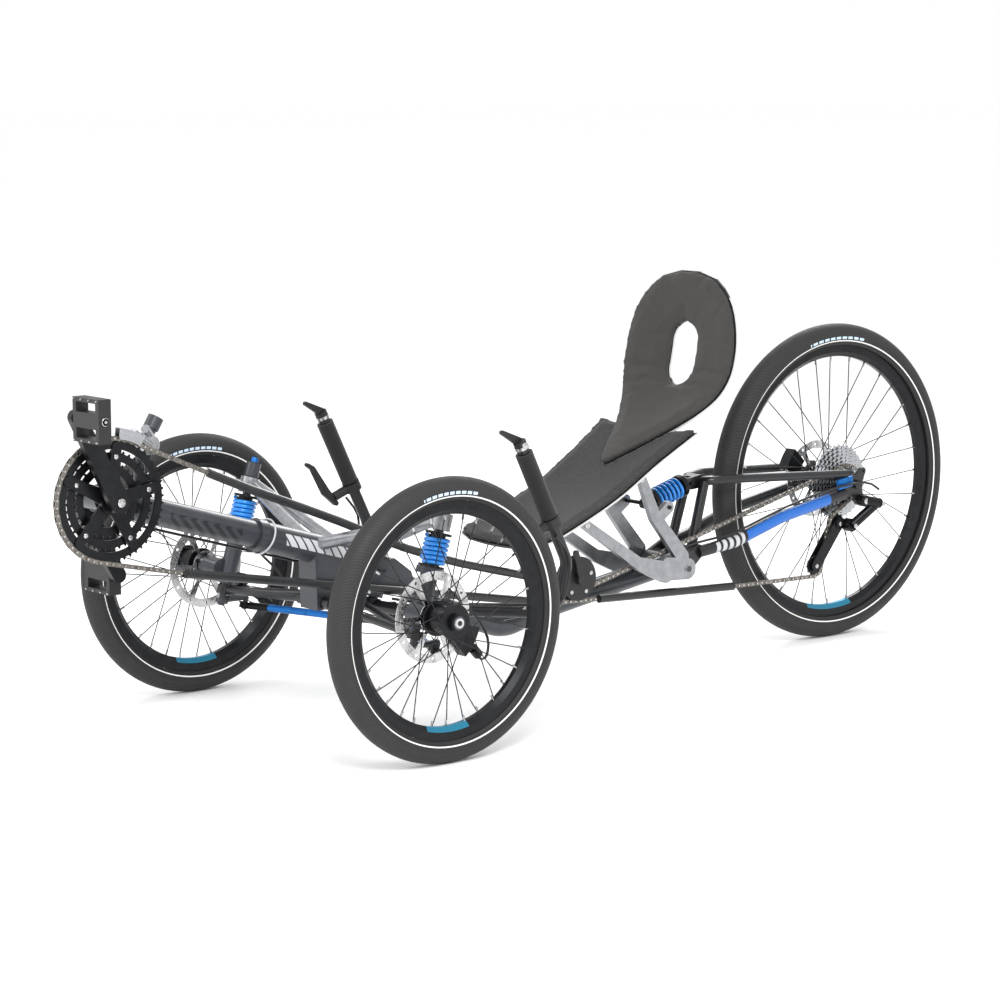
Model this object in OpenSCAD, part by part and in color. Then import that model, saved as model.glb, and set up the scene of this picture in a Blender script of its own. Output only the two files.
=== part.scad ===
// Recumbent tricycle: two steered wheels in front, one driven wheel behind.
// Millimetres. +X is forward, +Y is the rider's left, +Z is up, and the ground is z = 0.
// Places are worked out from the front axle line, then moved so that the origin lies on the
// ground under the middle of the tricycle.

/* [Overall] */
// Distance from the front axle line to the rear axle
wheelbase = 1322; // [1290:1:1360]
// Distance between the centres of the two front tyres
track = 772; // [756:1:830]

/* [Front wheels] */
// Bead seat diameter of the front rims
front_bead_d = 406; // [400:1:412]
// Height of a front tyre above its bead seat
front_tyre_h = 44.5; // [38:0.5:48]
// Width of a front tyre
front_tyre_w = 45; // [38:0.5:48]
// Radius of the front hub flanges
front_flange_r = 31; // [28:0.5:36]
// Radius of the front axle stubs
front_axle_r = 10; // [6:0.5:12]
// Radius of the front brake rotors
front_rotor_r = 80; // [70:1:82]

/* [Rear wheel] */
// Bead seat diameter of the rear rim
rear_bead_d = 559; // [552:1:566]
// Height of the rear tyre above its bead seat
rear_tyre_h = 47.5; // [42:0.5:52]
// Width of the rear tyre
rear_tyre_w = 50; // [42:0.5:54]
// Distance between the rear dropouts
rear_spacing = 135; // [135:1:142]
// Radius of the rear axle
rear_axle_r = 5; // [4:0.5:7]
// Radius of the rear brake rotor
rear_rotor_r = 80; // [70:1:82]

/* [Wheel building] */
// Spokes in each wheel
spoke_count = 32; // [24:4:36]
// Spoke radius
spoke_r = 1; // [0.9:0.05:1.1]
// Rim width
rim_w = 25; // [23:0.5:27]
// Radial depth of a rim below its bead seat
rim_depth = 20; // [16:0.5:24]

/* [Frame] */
// Angle that the boom rises towards the front, in degrees
boom_angle = 16.5; // [15:0.25:18]
// Height of the main tube's centre above the front axle line
tube_z = 324; // [320:1:330]
// Radius of the main tube
tube_r = 27; // [26:0.5:29]
// Radius of the sliding boom
boom_r = 24; // [22:0.5:24.5]
// Front end of the main tube, ahead of the axle line
tube_front = 130; // [110:1:150]
// Length of the boom inside the main tube
boom_inserted = 110; // [80:1:140]
// Radius of the lower spine tube
spine_r = 22; // [20:0.5:24]
// Height of the spine's lowest centre point
spine_low_z = 126; // [122:1:135]

/* [Steering] */
// Angle that the kingpins lean back, in degrees
caster = 17; // [16:0.25:18]
// Distance from the tyre's centre to its kingpin
king_offset = 93; // [90:1:98]
// Distance that the kingpin passes behind the axle
king_trail = 17; // [15:0.5:19]
// Length of the steering arms on the knuckles and on the handlebar
steer_arm = 56; // [50:1:60]
// Distance of the handlebar pivot behind the axle line
stem_back = 130; // [126:1:136]
// Height of the handlebar pivot
stem_z = 205; // [203:1:207]
// Height of the tie rods' outer ends
tie_z = 173; // [170:0.5:176]
// Radius of the handlebar's steering stem
stem_r = 9; // [8:0.5:10]
// Radius of a tie rod
tie_r = 7; // [6:0.5:8]
// Radius of the handlebar tube
bar_r = 11; // [10:0.5:11.5]
// Distance of each grip from the centre line
grip_y = 298; // [290:1:310]
// Radius of a grip
grip_r = 16; // [14.5:0.5:18]
// Length of a grip
grip_len = 132; // [120:1:136]

/* [Front suspension] */
// Radius of the kingpin shaft in the top mount
strut_r = 8; // [7:0.5:9]
// Outer radius of the front springs
spring_r = 23.5; // [21:0.5:25]
// Distance from the axle line up the kingpin to the spring's lower end
spring_foot = 78; // [76:1:84]
// Length of the front springs
spring_len = 63; // [58:1:66]
// Distance from the axle line down the kingpin to the wishbone eye
eye_drop = 42; // [40:0.5:44]

/* [Seat] */
// Half the width of the seat at the hips
seat_half_hip = 122; // [112:1:130]
// Half the width of the seat at the shoulders
seat_half_back = 155; // [140:1:165]
// Thickness of the seat shells
shell_t = 4; // [3:0.5:4.5]
// Thickness of the seat pads
pad_t = 12; // [8:1:15]
// Half the width of the vent hole in the back
vent_r = 40; // [34:1:46]
// Height of the vent hole in the back
vent_h = 128; // [110:1:136]

/* [Cranks] */
// Distance of the crank axle ahead of the front axle line
crank_reach = 452; // [440:1:462]
// Length of each crank arm
crank_len = 170; // [150:2.5:175]
// Angle of the left crank arm above the horizontal, in degrees
crank_angle = 62; // [55:1:70]
// Outer radius of the largest chainring
ring_r = 110; // [104:1:112]
// Radius of the crank spindle
spindle_r = 12; // [10:0.5:13]
// Distance of the chain from the centre line
chain_y = 48; // [47.5:0.25:50]

/* [Pedals] */
// Width of a pedal along its spindle
pedal_w = 80; // [72:1:90]
// Length of a pedal across its spindle
pedal_l = 74; // [70:1:90]
// Thickness of a pedal
pedal_t = 24; // [22:0.5:28]

/* [Rear suspension] */
// Distance of the swing arm pivot behind the front axle line
pivot_back = 857; // [850:1:862]
// Height of the swing arm pivot
pivot_z = 201; // [198:1:204]
// Radius of the rear shock's spring
shock_r = 23; // [21:0.5:25]

/* [Fits] */
// Radial clearance of a running fit
run_gap = 0.06; // [0.04:0.01:0.1]
// Clearance between pieces that seat on each other
seat_gap = 0.3; // [0.2:0.05:0.4]

/* [Hidden] */
$fn = 64;
front_r = front_bead_d / 2 + front_tyre_h;
rear_r = rear_bead_d / 2 + rear_tyre_h;
half_track = track / 2;
king_y = half_track - king_offset;
shift_x = (wheelbase + rear_r - crank_reach - ring_r) / 2;
flange_over = 4;                        // rim flange above the bead seat
hub_half = 34;                          // front hub's inner half
hub_out = 31;                           // front hub's outer half
rotor_t = 2;
chain_h = 8;
chain_w = 6;
chain_pitch_r = ring_r - chain_h / 2;
cog_r = 36.4;                           // the sprocket that the chain runs on
idler_x = -584;
idler_z = 210;
idler_r = 24;
bb_half = 31;                           // half the width of the bottom bracket shell
bb_r = 21;
arm_y_left = 75;
arm_y_right = -62;
arm_t = 13;
pedal_gap = 3;
steer_axis = [-sin(caster), 0, cos(caster)];
bb = tube_point(crank_reach);
low_eye = king(-eye_drop);
top_mount = spring_foot + spring_len + 4;
mount_h = 30;
arm_lift = 16.4;                         // steering arms above the tie rods, along the kingpin
tie_eye_h = 12;                         // height of a tie rod eye
tie_pin_r = 5;
swing_pin_r = 6;
bend_r = 45;                            // bend radius of the handlebar
pedal_pin_r = 6;
post_r = 14;                            // cap of the accessory post over the chainring
post_cap = 22;
post_foot = [-92, 0, 76];
post_top = [-124, 0, 128];
seat_dish = 16;                         // rise of the seat's edges at the shoulders
upper_lift = shell_t + pad_t * 0.85 + 2 * seat_gap;
shock_front = [-806, 328];
shock_rear = [-915, 359];
shock_pin_r = 4;
hanger = [-wheelbase - 12, rear_r - 34];
rack_hole_r = 2.5;

wishbone_x = [-6, -70];                 // pivots of the wishbones
wishbone_z = 226;
wishbone_pin_r = 5;

// ---- points, paths and solids that every sub-part uses ----

function unit(v) = v / norm(v);
function mix(a, b, t) = a + (b - a) * t;

// Centre of the main tube or boom at a distance ahead of the axle line
function tube_point(x) = [x, 0, tube_z + x * tan(boom_angle)];

// Point on the left kingpin axis, t above axle height along the axis
function king(t) = [-king_trail, king_y, front_r] + t * steer_axis;

// Point on the left kingpin axis at height z
function king_at(z) = king((z - front_r) / cos(caster));

// Point on the handlebar's pivot axis at height z
function stem_at(z) = [-stem_back, 0, stem_z] + (z - stem_z) / cos(caster) * steer_axis;

// Catmull-Rom curve through the points p, with n steps a span
function curve(p, n) = [
    for (i = [0 : len(p) - 2], j = [0 : n - 1])
        let (a = p[max(i - 1, 0)], b = p[i], c = p[i + 1], d = p[min(i + 2, len(p) - 1)], t = j / n)
        0.5 * (2 * b + (c - a) * t + (2 * a - 5 * b + 4 * c - d) * t * t
               + (3 * b - a - 3 * c + d) * t * t * t),
    p[len(p) - 1]
];

// Everything is placed from the front axle line
module placed() translate([shift_x, 0, 0]) children();

module left_or_right(side) {
    if (side > 0) children();
    else mirror([0, 1, 0]) children();
}

module both_sides() {
    children();
    mirror([0, 1, 0]) children();
}

// Turns +Z to the direction d, at the point a
module aim(a, d) {
    translate(a) rotate([0, acos(d.z / norm(d)), atan2(d.y, d.x)]) children();
}

module rod(a, b, r) aim(a, b - a) cylinder(h = norm(b - a), r = r);

module cone(a, b, r1, r2) aim(a, b - a) cylinder(h = norm(b - a), r1 = r1, r2 = r2);

module pipe(a, b, r, bore) {
    difference() {
        rod(a, b, r);
        rod(a - unit(b - a), b + unit(b - a), bore);
    }
}

// A cylinder along Y, centred on the point p
module pin_y(p, r, len) translate(p) rotate([90, 0, 0]) cylinder(h = len, r = r, center = true);

// A curved stretch of tube that turns from direction a to direction b at the corner p
module elbow(p, a, b, bend, r) {
    turn = acos(a * b);
    n = unit(cross(a, b));
    c = cross(n, a);
    o = p - a * bend * tan(turn / 2) + c * bend;
    multmatrix([[-c.x, a.x, n.x, o.x], [-c.y, a.y, n.y, o.y], [-c.z, a.z, n.z, o.z], [0, 0, 0, 1]])
        rotate_extrude(angle = turn) translate([bend, 0]) circle(r = r);
}

// A round tube along straight stretches, which run 1 mm into slightly thicker bends
module bent_tube(p, r, bend) {
    last = len(p) - 1;
    dir = [for (i = [0 : last - 1]) unit(p[i + 1] - p[i])];
    cut = [for (i = [0 : last]) i == 0 || i == last ? 0 : bend * tan(acos(dir[i - 1] * dir[i]) / 2)];
    lap = [for (i = [0 : last]) i == 0 || i == last ? 0 : 1];
    for (i = [0 : last - 1])
        rod(p[i] + dir[i] * (cut[i] - lap[i]), p[i + 1] - dir[i] * (cut[i + 1] - lap[i + 1]), r);
    for (i = [1 : last - 1]) elbow(p[i], dir[i - 1], dir[i], bend, r + 0.08);
}

// A cable: one closed tube with flat sides swept along the curve through the points p
module cable(p, r, steps = 3, sides = 8) {
    q = curve(p, steps);
    last = len(q) - 1;
    dir = [for (i = [0 : last]) unit(q[min(i + 1, last)] - q[max(i - 1, 0)])];
    ref = [0.12, 0.31, -0.2];
    points = [for (i = [0 : last], k = [0 : sides - 1])
        let (u = unit(cross(dir[i], ref)), v = cross(u, dir[i]), a = 360 * k / sides)
        q[i] + r * (cos(a) * u + sin(a) * v)];
    walls = [for (i = [0 : last - 1], k = [0 : sides - 1]) let (m = (k + 1) % sides)
        [i * sides + k, i * sides + m, (i + 1) * sides + m, (i + 1) * sides + k]];
    polyhedron(points, concat(walls, [[for (k = [sides - 1 : -1 : 0]) k]],
                              [[for (k = [0 : sides - 1]) last * sides + k]]));
}

// A flat plate of thickness t, centred on y, from an outline of X and Z
module plate_y(y, t) translate([0, y + t / 2, 0]) rotate([90, 0, 0]) linear_extrude(t) children();

// A tapered bar with round ends, in the plate's plane
module bar_2d(a, b, ra, rb) {
    d = b - a;
    turn = atan2(d.y, d.x);
    lean = acos((ra - rb) / norm(d));
    polygon(concat(
        [for (k = [0 : 16]) let (t = turn + lean + k * (360 - 2 * lean) / 16) a + ra * [cos(t), sin(t)]],
        [for (k = [0 : 16]) let (t = turn - lean + k * lean / 8) b + rb * [cos(t), sin(t)]]
    ));
}

// Part of a flat ring in the plate's plane
module ring_2d(c, r1, r2, from, to) {
    n = 10;
    polygon(concat(
        [for (k = [0 : n]) let (t = mix(from, to, k / n)) c + r1 * [cos(t), sin(t)]],
        [for (k = [0 : n]) let (t = mix(to, from, k / n)) c + r2 * [cos(t), sin(t)]]
    ));
}

// ---- wheels, each on an axle along Y at its own centre, with +Y outwards ----

module revolved() rotate([90, 0, 0]) rotate_extrude() children();

module tyre(bead_d, h, w) {
    color("#2b2b2d") revolved() difference() {
        translate([bead_d / 2 + h - w / 2, 0]) circle(d = w);
        translate([0, -w]) square([bead_d / 2 + flange_over + seat_gap, 2 * w]);
    }
}

module rim(bead_d) {
    low = bead_d / 2 - rim_depth;
    bed = bead_d / 2 - 6;
    top = bead_d / 2 + flange_over;
    color("#1c1d1f") revolved() polygon([
        [low, -5], [low + 9, -rim_w / 2], [top, -rim_w / 2], [top, 2 - rim_w / 2],
        [bed, 3 - rim_w / 2], [bed, rim_w / 2 - 3], [top, rim_w / 2 - 2], [top, rim_w / 2],
        [low + 9, rim_w / 2], [low, 5]
    ]);
}

// Half of the spokes of each flange lean forwards and half backwards, in two planes
module spokes(bead_d, flange_in, flange_out, flange_r, crossings) {
    step = 720 / spoke_count;
    layer = spoke_r + 0.4;
    start_r = flange_r + spoke_r + seat_gap;
    end_r = bead_d / 2 - rim_depth - seat_gap;
    color("#26272a") for (side = [0, 1], k = [0 : spoke_count / 2 - 1]) {
        lean = k % 2 == 0 ? 1 : -1;
        a = k * step + side * step / 2;
        b = a + lean * crossings * step;
        flange = side == 0 ? flange_in : flange_out;
        near = side == 0 ? -2.6 : 2.6;
        rod([start_r * cos(a), flange + lean * layer, start_r * sin(a)],
            [end_r * cos(b), near + lean * layer, end_r * sin(b)], spoke_r);
    }
}

// A hub shell with two flanges and a bore, from y = a to y = b
module hub_shell(a, b, flange_in, flange_out, flange_r, shell_r, end_r, bore) {
    difference() {
        union() {
            rotate([90, 0, 0]) translate([0, 0, -b]) cylinder(h = b - a, r = end_r);
            rotate([90, 0, 0]) translate([0, 0, -flange_out]) cylinder(h = flange_out - flange_in, r = shell_r);
            for (y = [flange_in, flange_out]) pin_y([0, y, 0], flange_r, 3.4);
        }
        rotate([90, 0, 0]) translate([0, 0, -b - 1]) cylinder(h = b - a + 2, r = bore);
    }
}

module rotor(r, y, bore) {
    holes = 12;
    color("#b9bcc0") difference() {
        pin_y([0, y, 0], r, rotor_t);
        pin_y([0, y, 0], bore, rotor_t + 2);
        for (k = [0 : 5]) rotate([0, k * 60, 0]) plate_y(y, rotor_t + 2) difference() {
            intersection() {
                circle(r = r - 16);
                rotate(6) polygon([[0, 0], [r, 0], [r * cos(48), r * sin(48)]]);
            }
            circle(r = bore + 12);
        }
        for (k = [0 : holes - 1]) rotate([0, k * 360 / holes, 0]) pin_y([r - 8, y, 0], 3, rotor_t + 2);
    }
}

module front_place(side) placed() left_or_right(side) translate([0, half_track, front_r]) children();

module front_tyre(side) front_place(side) tyre(front_bead_d, front_tyre_h, front_tyre_w);

module front_rim(side) front_place(side) rim(front_bead_d);

module front_spokes(side) front_place(side) spokes(front_bead_d, -24, 23, front_flange_r, 2);

module front_hub(side) {
    front_place(side) color("#17181a") hub_shell(
        -hub_half - 6, hub_out, -24, 23, front_flange_r, 24, front_axle_r + 5, front_axle_r + run_gap);
}

module front_rotor(side) {
    front_place(side) rotor(front_rotor_r, -hub_half - 4, front_axle_r + 5 + seat_gap);
}

module rear_place() placed() translate([-wheelbase, 0, rear_r]) children();

module tyre_rear() rear_place() tyre(rear_bead_d, rear_tyre_h, rear_tyre_w);

module rim_rear() rear_place() rim(rear_bead_d);

module spokes_rear() rear_place() spokes(rear_bead_d, -32, 16, 29, 3);

module hub_rear() {
    end_y = rear_spacing / 2 - 0.5;
    rear_place() color("#17181a") hub_shell(
        -end_y, end_y, -32, 16, 29, 18, rear_axle_r + 6, rear_axle_r + run_gap);
}

module brake_rotor_rear() rear_place() rotor(rear_rotor_r, -44, rear_axle_r + 6 + seat_gap);

// Sprockets on the left, the largest innermost
module cassette() {
    sprockets = 9;
    pitch = 4;
    first = chain_y - 6 * pitch;
    rear_place() color("#a9acb0") difference() {
        union() {
            for (k = [0 : sprockets - 1]) {
                y = first + k * pitch;
                r = k == 6 ? cog_r - chain_h / 2 - seat_gap : 75 - k * 6.2;
                pin_y([0, y, 0], r, 2);
            }
            rotate([90, 0, 0]) translate([0, 0, -first - sprockets * pitch + pitch / 2])
                cylinder(h = sprockets * pitch, r = 18);
        }
        pin_y([0, first + 16, 0], rear_axle_r + 6 + seat_gap, 90);
    }
}

// ---- frame ----

// The spine runs from the end of the main tube down under the seat and up to the rear pivot
function spine_points() = [
    [-150, 0, 268], [-300, 0, 176], [-440, 0, spine_low_z], [-550, 0, spine_low_z + 26],
    [-pivot_back + 14, 0, pivot_z - 3]
];

module main_frame() {
    tail = tube_point(-150);
    stem_low = stem_at(stem_z + bar_r + 4);
    stem_top = stem_at(stem_z + 58);
    placed() color("#3a3b3f") {
        difference() {
            union() {
                rod(tail, tube_point(tube_front), tube_r);
                rod(tube_point(tube_front - 16), tube_point(tube_front + 0.5), tube_r + 2.5);
                plate_y(0, 44) polygon([
                    [-90, tube_z - 40], [-84, 240], [-112, 226], [-160, 226], [-200, 224], [-216, 230],
                    [-206, 262], [-168, 290]
                ]);
                bent_tube(spine_points(), spine_r, 90);
                rod(stem_low, stem_top, 17);
                plate_y(0, 52) polygon([[14, 322], [-84, 292], [-90, 214], [10, 214]]);
                pin_y([-pivot_back, 0, pivot_z], 23, 92);
            }
            rod(tube_point(tube_front - boom_inserted - 4), tube_point(tube_front + 5), boom_r + seat_gap);
            rod(stem_low - 10 * steer_axis, stem_top - 6 * steer_axis, stem_r + run_gap);
        }
        pin_y([-pivot_back, 0, pivot_z], swing_pin_r, 146);
        for (x = wishbone_x) pin_y([x, 0, wishbone_z], wishbone_pin_r, 106);
    }
}

module boom() {
    back = tube_point(tube_front - boom_inserted);
    placed() color("#3a3b3f") difference() {
        union() {
            rod(back, bb, boom_r);
            pin_y(bb, bb_r, 2 * bb_half);
            rod(bb + [-84, 0, -6], bb + post_foot, 9);
            rod(bb + post_foot, bb + post_top, post_r - 3);
            rod(bb + post_top - post_cap * unit(post_top - post_foot), bb + post_top, post_r);
        }
        pin_y(bb, spindle_r + run_gap, 2 * bb_half + 2);
        rod(back - [20, 0, 6], tube_point(crank_reach - 60), boom_r - 3);
    }
}

// Silver arms from the main tube out to the top mounts of the two struts
module cross_member() {
    mount_low = king(top_mount);
    mount_top = king(top_mount + mount_h);
    placed() color("#b4b6b9") both_sides() difference() {
        union() {
            rod(mount_low, mount_top, 18);
            cone([-4, tube_r - 5, tube_point(-4).z + 12], king(top_mount + 18) + [6, -14, 0], 12, 9);
            cone([-84, tube_r - 5, tube_point(-84).z + 12], king(top_mount + 18) + [-6, -14, 0], 12, 9);
        }
        rod(tube_point(-200), tube_point(100), tube_r + seat_gap);
        rod(mount_low - 40 * steer_axis, mount_low, 24);
        rod(mount_top, mount_top + 40 * steer_axis, 24);
        rod(mount_low - 4 * steer_axis, mount_top + 4 * steer_axis, strut_r + run_gap);
    }
}

module wishbones() {
    eye_low = king(-eye_drop - 8);
    eye_top = king(-eye_drop + 8);
    inner_y = 26 + seat_gap;
    pivot_w = 22;
    placed() color("#242528") both_sides() difference() {
        union() {
            rod(eye_low, eye_top, 14);
            for (x = wishbone_x) {
                rod([x, inner_y + 10, wishbone_z], low_eye, 7);
                pin_y([x, inner_y + pivot_w / 2, wishbone_z], 11, pivot_w);
            }
        }
        rod(eye_low - 4 * steer_axis, eye_top + 4 * steer_axis, strut_r - 1 + run_gap);
        for (x = wishbone_x) pin_y([x, inner_y, wishbone_z], wishbone_pin_r + run_gap, 80);
    }
}

// ---- seat ----

// Centre line of the seat's underside in X and Z, from its front edge to its top
seat_line = [
    [-425, 282], [-475, 292], [-560, 324], [-644, 362], [-728, 412], [-800, 453], [-852, 486],
    [-892, 522], [-918, 568], [-932, 622], [-939, 676], [-943, 732], [-942, 781]
];
lower_spans = [0, 5.4];
upper_spans = [3.72, 12];

// Half the lower shell's width, t from 0 at its front to 1 at its wings
function lower_half(t) =
    (seat_half_hip + 18 * pow(max(t - 0.55, 0) / 0.45, 2)) * pow(min(1, (t + 0.02) / 0.1), 0.25);

// Half the upper shell's width, t from 0 at its lower tip to 1 at its top
function upper_half(t) = seat_half_back * (
    t < 0.62 ? 0.05 + 0.95 * pow(sin(90 * t / 0.62), 0.85)
             : sqrt(max(0.02, 1 - pow((t - 0.62) / 0.385, 2.3))));

// Point on the seat at s spans along its line, y across it and lift above its underside
function seat_point(s, y, lift) =
    let (i = min(floor(s), len(seat_line) - 2), f = s - i,
         a = seat_line[max(i - 1, 0)], b = seat_line[i],
         c = seat_line[i + 1], d = seat_line[min(i + 2, len(seat_line) - 1)],
         p = 0.5 * (2 * b + (c - a) * f + (2 * a - 5 * b + 4 * c - d) * f * f
                    + (3 * b - a - 3 * c + d) * f * f * f),
         g = unit((c - a) + 2 * (2 * a - 5 * b + 4 * c - d) * f + 3 * (3 * b - a - 3 * c + d) * f * f),
         rise = lift + seat_dish * pow(y / seat_half_back, 2))
    [p.x + g.y * rise, y, p.y - g.x * rise];

// A curved sheet over the seat line, between two lifts above the underside
module seat_sheet(spans, half, lift_low, lift_top, rows, cols) {
    grid = [for (lift = [lift_top, lift_low], i = [0 : rows], j = [0 : cols])
        seat_point(mix(spans[0], spans[1], i / rows), half[i] * (2 * j / cols - 1), lift)];
    layer = (rows + 1) * (cols + 1);
    function at(k, i, j) = k * layer + i * (cols + 1) + j;
    polyhedron(grid, concat(
        [for (i = [0 : rows - 1], j = [0 : cols - 1]) each [
            [at(0, i, j), at(0, i + 1, j), at(0, i + 1, j + 1)],
            [at(0, i, j), at(0, i + 1, j + 1), at(0, i, j + 1)],
            [at(1, i, j), at(1, i + 1, j + 1), at(1, i + 1, j)],
            [at(1, i, j), at(1, i, j + 1), at(1, i + 1, j + 1)]]],
        [for (i = [0 : rows - 1]) each [
            [at(0, i, 0), at(1, i, 0), at(1, i + 1, 0)],
            [at(0, i, 0), at(1, i + 1, 0), at(0, i + 1, 0)],
            [at(0, i, cols), at(0, i + 1, cols), at(1, i + 1, cols)],
            [at(0, i, cols), at(1, i + 1, cols), at(1, i, cols)]]],
        [for (j = [0 : cols - 1]) each [
            [at(0, 0, j), at(0, 0, j + 1), at(1, 0, j + 1)],
            [at(0, 0, j), at(1, 0, j + 1), at(1, 0, j)],
            [at(0, rows, j), at(1, rows, j), at(1, rows, j + 1)],
            [at(0, rows, j), at(1, rows, j + 1), at(0, rows, j + 1)]]]
    ));
}

// The vent in the back: a slot with round ends, cut straight through from behind
module vent(margin) {
    r = vent_r - margin;
    half = vent_h / 2 - vent_r;
    translate([-915, 0, 618]) rotate([0, 84, 0]) {
        for (z = [-half, half]) translate([z, 0, -60]) cylinder(h = 120, r = r);
        translate([-half, -r, -60]) cube([2 * half, 2 * r, 120]);
    }
}

module lower_sheet(inset, lift_low, lift_top) {
    rows = 18;
    seat_sheet(lower_spans, [for (i = [0 : rows]) lower_half(i / rows) - inset], lift_low, lift_top, rows, 8);
}

module upper_sheet(inset, lift_low, lift_top) {
    rows = 26;
    difference() {
        seat_sheet(upper_spans, [for (i = [0 : rows]) upper_half(i / rows) - inset], lift_low, lift_top, rows, 8);
        vent(inset);
    }
}

module seat_shell_lower() placed() color("#4a4b4c") lower_sheet(0, 0, shell_t);

module seat_pad_lower() placed() color("#414141") lower_sheet(2, shell_t + seat_gap, upper_lift - seat_gap);

module seat_shell_upper() placed() color("#4a4b4c") upper_sheet(0, upper_lift, upper_lift + shell_t);

module seat_pad_upper() {
    low = upper_lift + shell_t + seat_gap;
    placed() color("#414141") upper_sheet(2, low, low + pad_t);
}

// Forged brackets that carry the seat and the front eye of the rear shock
bracket_front = [-588, 318];
bracket_back = [-733, 398];
bracket_y = 63;
bracket_t = 12;

module seat_bracket(side) {
    pivot = [-pivot_back, pivot_z];
    placed() left_or_right(side) color("#b4b6b9") difference() {
        plate_y(bracket_y, bracket_t) {
            bar_2d(pivot, [-806, 206], 21, 23);
            bar_2d([-800, 200], [-730, 224], 21, 13);
            bar_2d([-730, 224], bracket_front, 12, 9);
            bar_2d([-844, 226], [-772, 312], 15, 12);
            bar_2d([-772, 312], bracket_back, 12, 9);
            bar_2d([-776, 306], shock_front, 11, 12);
        }
        pin_y([pivot.x, bracket_y, pivot.y], swing_pin_r + run_gap, 40);
        pin_y([shock_front.x, bracket_y, shock_front.y], shock_pin_r + run_gap, 40);
    }
}

// Black cross bars that tie the brackets together under the seat, with the quick release knob
module seat_clamp() {
    span = 2 * (bracket_y - bracket_t / 2 - seat_gap);
    placed() color("#1d1e20") {
        pin_y([bracket_front.x - 6, 0, bracket_front.y - 4], 7, span);
        pin_y([bracket_back.x, 0, bracket_back.y - 8], 8, span);
        rod([bracket_back.x, 0, bracket_back.y - 8], [-836, 0, 420], 6);
        rod([-830, 0, 417], [-858, 0, 430], 15);
    }
}

// ---- rear suspension ----

module swing_arm() {
    yoke_y = 50.5;
    drop_y = rear_spacing / 2 + 4;
    pivot = [-pivot_back, pivot_z];
    axle = [-wheelbase, rear_r];
    placed() color("#2a2b2e") difference() {
        union() {
            both_sides() {
                plate_y(yoke_y, 8) bar_2d(pivot, [-902, 230], 20, 13);
                bent_tube([[-900, 52, 228], [-985, 68, 242], [-1110, drop_y + 2, 280],
                           [axle.x + 34, drop_y + 2, axle.y - 16]], 12, 60);
                bent_tube([[-938, 0, 362], [-945, 36, 364], [-1010, 60, 366],
                           [axle.x + 28, drop_y + 2, axle.y + 24]], 9, 24);
                rod([-900, 30, 228], [-940, 26, 362], 10);
                plate_y(drop_y, 8) {
                    bar_2d(axle, [axle.x + 46, axle.y - 18], 19, 12);
                    bar_2d(axle, [axle.x + 44, axle.y + 24], 19, 9);
                    bar_2d(axle, [axle.x - 20, axle.y + 26], 14, 8);
                }
                pin_y([axle.x, drop_y + 7, axle.y], 9, 8);
            }
            pin_y([-900, 0, 228], 10, 104);
            pin_y([axle.x, 0, axle.y], rear_axle_r, rear_spacing + 8);
            plate_y(0, 30) bar_2d([-940, 362], shock_rear, 13, 12);
            plate_y(drop_y, 8) bar_2d(axle, hanger, 14, 11);
        }
        both_sides() {
            pin_y([pivot.x, yoke_y, pivot.y], swing_pin_r + run_gap, 20);
            pin_y([axle.x - 20, drop_y, axle.y + 26], rack_hole_r, 20);
        }
        plate_y(0, 16) translate(shock_rear) circle(r = 15);
        pin_y([shock_rear.x, 0, shock_rear.y], shock_pin_r + run_gap, 40);
        pin_y([hanger.x, drop_y, hanger.y], 5, 20);
    }
}

module shock_body() {
    front = [shock_front.x, 0, shock_front.y];
    rear = [shock_rear.x, 0, shock_rear.y];
    along = unit(rear - front);
    spread = 2 * (bracket_y + bracket_t / 2) + 6;
    placed() color("#1d1e20") {
        difference() {
            union() {
                pin_y(front, 11, 15);
                pin_y(rear, 11, 15);
                rod(front, rear, 7);
                rod(front + 10 * along, front + 62 * along, 12);
                rod(front + 12 * along, front + 17 * along, shock_r);
                rod(rear - 18 * along, rear - 13 * along, shock_r);
            }
            pin_y(front, shock_pin_r - 0.5, 30);
            pin_y(rear, shock_pin_r - 0.5, 30);
        }
        pin_y(front, shock_pin_r, spread);
        pin_y(rear, shock_pin_r, 38);
    }
}

// A spring as a sleeve with rounded coils, along +Z from the origin
module spring_sleeve(len, r, wire, coils) {
    pitch = (len - wire) / (coils - 1);
    rotate_extrude() {
        translate([r - wire, wire / 4]) square([wire / 3, len - wire / 2]);
        for (k = [0 : coils - 1]) translate([r - wire / 2, wire / 2 + k * pitch]) circle(d = wire);
    }
}

module shock_spring() {
    front = [shock_front.x, 0, shock_front.y];
    rear = [shock_rear.x, 0, shock_rear.y];
    along = unit(rear - front);
    start = 17 + seat_gap;
    placed() color("#1f6fc4") aim(front + start * along, along)
        spring_sleeve(norm(rear - front) - start - 18 - seat_gap, shock_r, 8, 6);
}

// ---- chain ----

// Angle of a direction in the XZ plane
function turn_of(d) = atan2(d.y, d.x);

// Unit direction of the tangent that leaves circle a and meets circle b. A circle is [centre, r],
// with r above 0 where its centre lies to the left of the path, and below 0 to the right.
function tangent_dir(a, b) =
    let (d = b[0] - a[0], turn = turn_of(d) - asin((b[1] - a[1]) / norm(d)))
    [cos(turn), sin(turn)];

// Where a path in direction d touches circle c
function touch(c, d) = c[0] - c[1] * [-d.y, d.x];

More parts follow.
